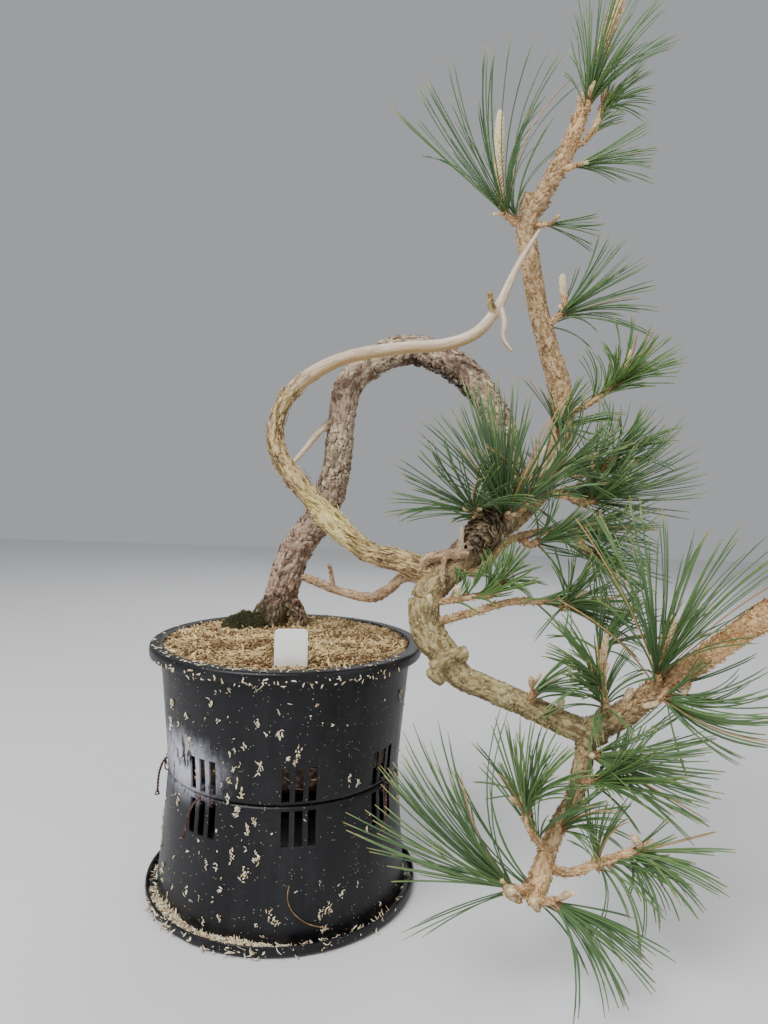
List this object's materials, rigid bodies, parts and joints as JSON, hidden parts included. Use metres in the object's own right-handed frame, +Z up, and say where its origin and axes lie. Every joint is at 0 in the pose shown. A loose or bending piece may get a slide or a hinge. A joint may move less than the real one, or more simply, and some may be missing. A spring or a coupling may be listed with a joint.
{
  "type": "bonsai tree in a pot",
  "caption": "Bonsai pine with a looped bare trunk, a rising leader, a drooping cascade and long needle tufts, in a nursery pot wired on an upturned pot.",
  "frame": {"origin": "on the surface the plant stands on, under the middle of the overall box", "axes": "+Z up; +X towards the side the cascade leans to; -Y towards the front of the plant, where the label stands"},
  "size_m": [0.5264, 0.3328, 0.8892],
  "materials": {
    "pot_plastic": "black satin moulded polypropylene, scuffed and dusty",
    "potting_mix": "damp brown bark and grit potting mix",
    "straw_dressing": "dry chopped moss and husk, straw to brown",
    "moss": "dark green cushion moss",
    "label_plastic": "plain white sheet plastic, blank",
    "tie_wire": "aged copper-brown tie wire, twisted",
    "pine_bark": "flaky grey-pink to tan bark, bleached cream where the wood is dead",
    "pine_needles": "long mid-green needles in pairs, with a waxy sheen",
    "candle_buds": "cream scaly buds"
  },
  "bodies": {
    "root": {"upper_pot": "pot_plastic", "lower_pot": "pot_plastic", "soil_mix": "potting_mix", "top_dressing": "straw_dressing", "moss_patch": "moss", "plant_label": "label_plastic", "wire_tie_1": "tie_wire", "wire_tie_2": "tie_wire", "wire_tie_3": "tie_wire", "wire_tie_4": "tie_wire", "trunk_and_branches": "pine_bark", "candle_01": "candle_buds", "candle_02": "candle_buds", "candle_03": "candle_buds", "candle_04": "candle_buds", "candle_05": "candle_buds", "candle_06": "candle_buds", "candle_07": "candle_buds", "candle_08": "candle_buds", "candle_09": "candle_buds", "candle_10": "candle_buds", "needles_01": "pine_needles", "needles_02": "pine_needles", "needles_03": "pine_needles", "needles_04": "pine_needles", "needles_05": "pine_needles", "needles_06": "pine_needles", "needles_07": "pine_needles", "needles_08": "pine_needles", "needles_09": "pine_needles", "needles_10": "pine_needles", "needles_11": "pine_needles", "needles_12": "pine_needles", "needles_13": "pine_needles", "needles_14": "pine_needles", "needles_15": "pine_needles", "needles_16": "pine_needles", "needles_17": "pine_needles", "needles_18": "pine_needles", "needles_19": "pine_needles", "needles_20": "pine_needles", "needles_21": "pine_needles", "needles_22": "pine_needles", "needles_23": "pine_needles", "needles_24": "pine_needles", "needles_25": "pine_needles", "needles_26": "pine_needles"}
  },
  "joints": []
}
